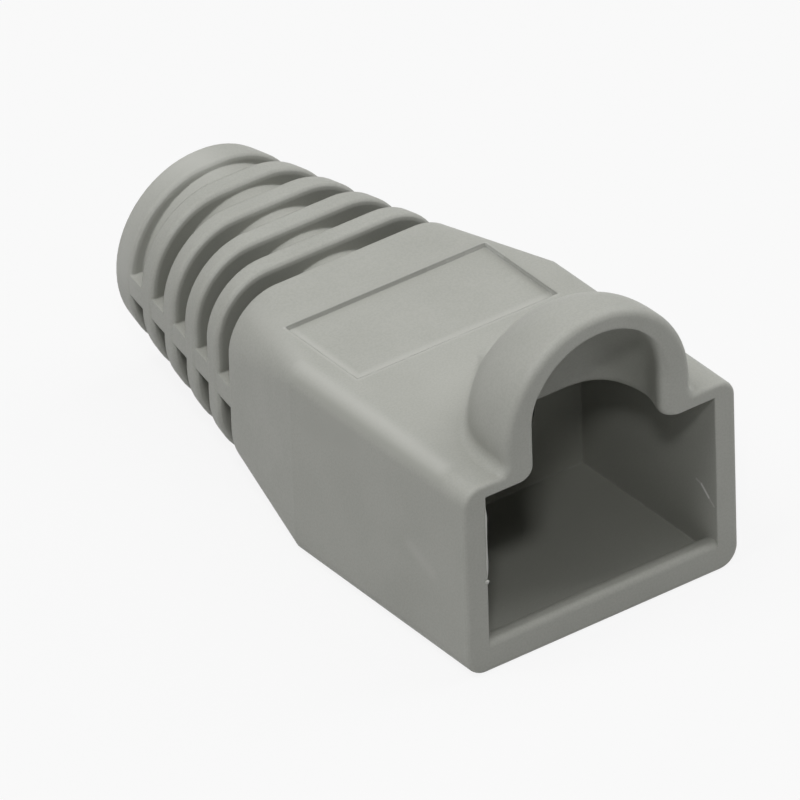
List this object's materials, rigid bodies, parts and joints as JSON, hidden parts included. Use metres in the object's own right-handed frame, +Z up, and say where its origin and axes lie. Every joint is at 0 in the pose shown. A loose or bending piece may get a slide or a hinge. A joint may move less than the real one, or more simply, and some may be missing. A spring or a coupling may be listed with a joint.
{
  "type": "rj45 strain relief boot",
  "caption": "Soft moulded strain relief boot for a modular plug: rectangular mouth, arched latch hood, slotted flexible tail and cable bore.",
  "frame": {"origin": "middle of the boot's length and width, on the flat underside that it lies on", "axes": "+Z up towards the latch hood, the mouth faces -Y and the cable leaves along +Y, +X to the right seen from the mouth"},
  "size_m": [0.0142, 0.0286, 0.0151],
  "materials": {
    "soft_grey_pvc": "fine matte moulded grey"
  },
  "bodies": {
    "root": {"boot": "soft_grey_pvc"}
  },
  "joints": []
}
